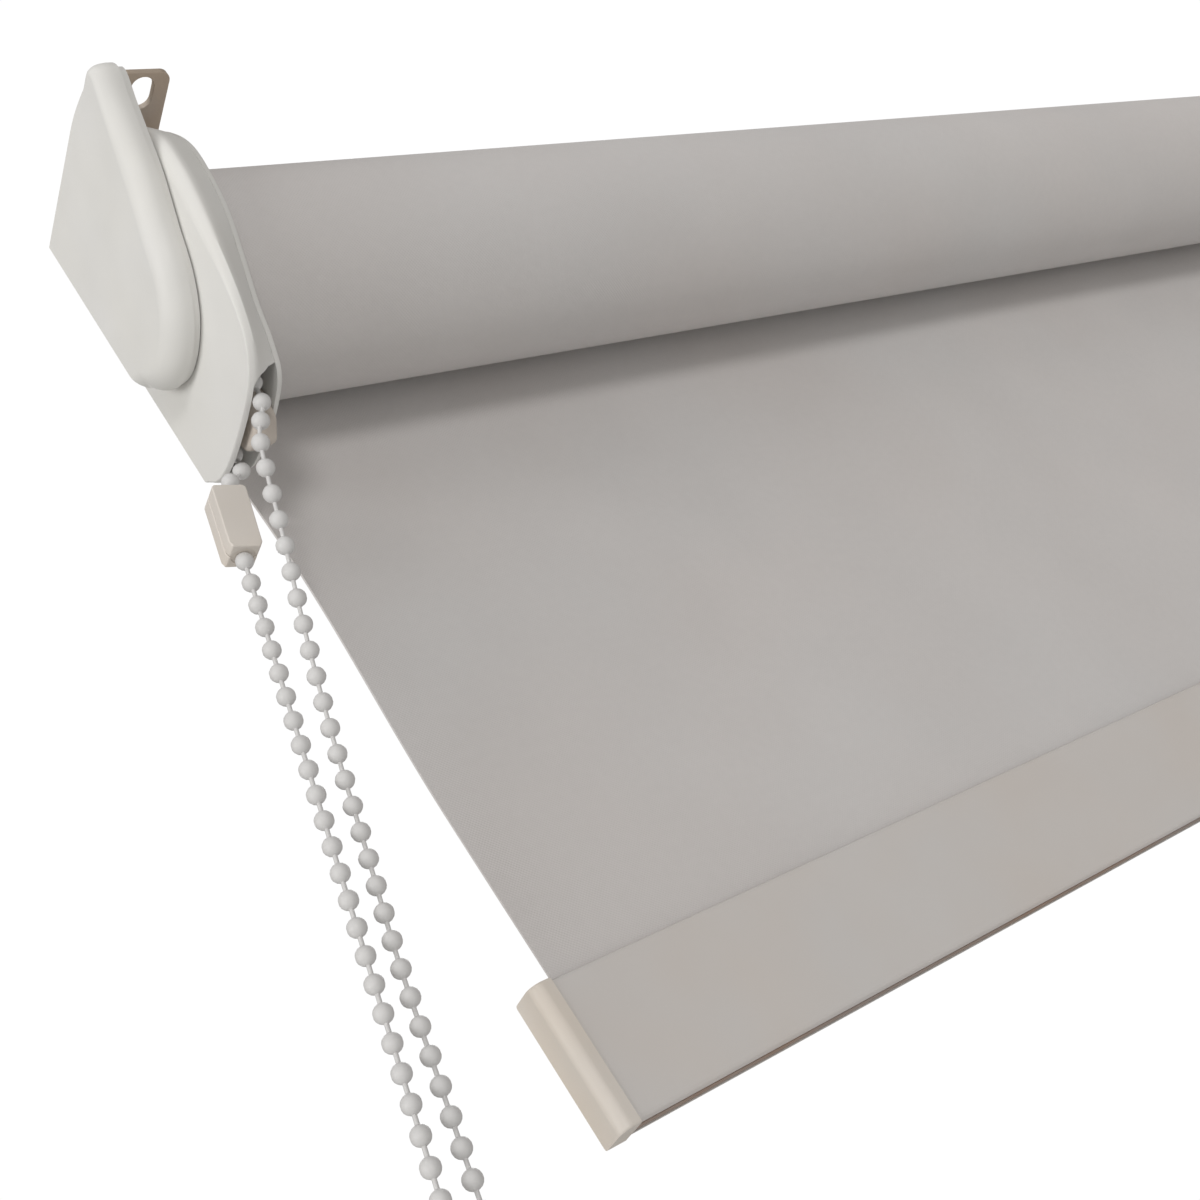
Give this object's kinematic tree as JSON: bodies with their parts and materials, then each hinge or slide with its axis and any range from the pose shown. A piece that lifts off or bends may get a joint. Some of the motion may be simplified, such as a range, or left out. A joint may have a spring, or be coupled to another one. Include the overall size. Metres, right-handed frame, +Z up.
{
  "type": "roller blind",
  "caption": "Top-fixed fabric roller blind: ball-chain clutch at one end, sprung pin at the other, weighted aluminium bottom rail, chain connector and chain tensioner.",
  "frame": {"origin": "mid-width of the blind, on the plane that the top flanges are screwed to, straight above the roller axis", "axes": "+X along the roller away from the chain end, +Z up, -Y towards the room"},
  "size_m": [0.6552, 0.0814, 0.3573],
  "materials": {
    "white_plastic": "satin moulded",
    "cream_plastic": "satin moulded",
    "chain_plastic": "smooth",
    "black_plastic": "satin",
    "grey_plastic": "satin",
    "steel_plate": "zinc plated",
    "zinc": "zinc plated",
    "tube_aluminium": "mill",
    "rail_aluminium": "satin anodised",
    "cloth": "plain woven",
    "dark_strip": "matte"
  },
  "bodies": {
    "frame": {"bracket_left": "steel_plate", "cover_left": "white_plastic", "clutch_housing": "white_plastic", "clutch_inner_wall": "white_plastic", "chain_guide": "cream_plastic", "clutch_core": "black_plastic", "clutch_axle": "zinc", "clutch_rivet_1": "zinc", "clutch_rivet_2": "zinc", "brake_spring_1": "zinc", "brake_spring_2": "zinc", "bracket_right": "steel_plate", "cover_right": "white_plastic", "idle_housing": "white_plastic", "idle_wall": "white_plastic", "idle_socket": "black_plastic", "idle_rivet_1": "zinc", "idle_rivet_2": "zinc", "idle_bolt": "zinc", "chain": "chain_plastic", "tension_base": "white_plastic", "tension_cap": "white_plastic", "tension_pin": "zinc"},
    "roller": {"roller_tube": "tube_aluminium", "fabric_roll": "cloth", "sprocket": "white_plastic", "drive_hub": "grey_plastic", "idle_plug": "grey_plastic", "spring_stop": "zinc", "pin_spring": "zinc"},
    "plunger": {"idle_pin": "zinc"},
    "bar": {"bottom_rail": "rail_aluminium", "rail_strip": "dark_strip", "hem_rod": "grey_plastic", "rail_cap_left": "cream_plastic", "rail_cap_right": "cream_plastic", "fabric_drop": "cloth"},
    "connector": {"connector_front": "cream_plastic", "connector_back": "cream_plastic"},
    "wheel": {"tension_wheel": "white_plastic"}
  },
  "joints": [
    {"name": "roller_spin", "type": "hinge", "parent": "frame", "child": "roller", "pos_m": [0, 0, -0.033], "axis": [1, 0, 0], "range_deg": [-945, 0]},
    {"name": "bar_slide", "type": "slide", "parent": "frame", "child": "bar", "axis": [0, 0, 1], "range_m": [-0.468, 0], "deforming": ["fabric_drop"]},
    {"name": "connector_slide", "type": "slide", "parent": "frame", "child": "connector", "axis": [0.2207, -0.0407, 0.9745], "range_m": [-0.1895, 0]},
    {"name": "wheel_spin", "type": "hinge", "parent": "frame", "child": "wheel", "pos_m": [-0.3428, 0.0197, -0.3193], "axis": [-0.1869, 0.9789, 0.0832], "range_deg": [-1710, 0]},
    {"name": "plunger_slide", "type": "slide", "parent": "roller", "child": "plunger", "axis": [-1, 0, 0], "range_m": [0, 0.009], "stiffness_N_per_m": 400, "springref_m": -0.005, "deforming": ["pin_spring"]}
  ],
  "couplings": [
    {"joint": "bar_slide", "follows": "roller_spin", "m_per_rad": 0.0283},
    {"joint": "connector_slide", "follows": "roller_spin", "m_per_rad": 0.01146},
    {"joint": "wheel_spin", "follows": "roller_spin", "ratio": 1.8}
  ]
}
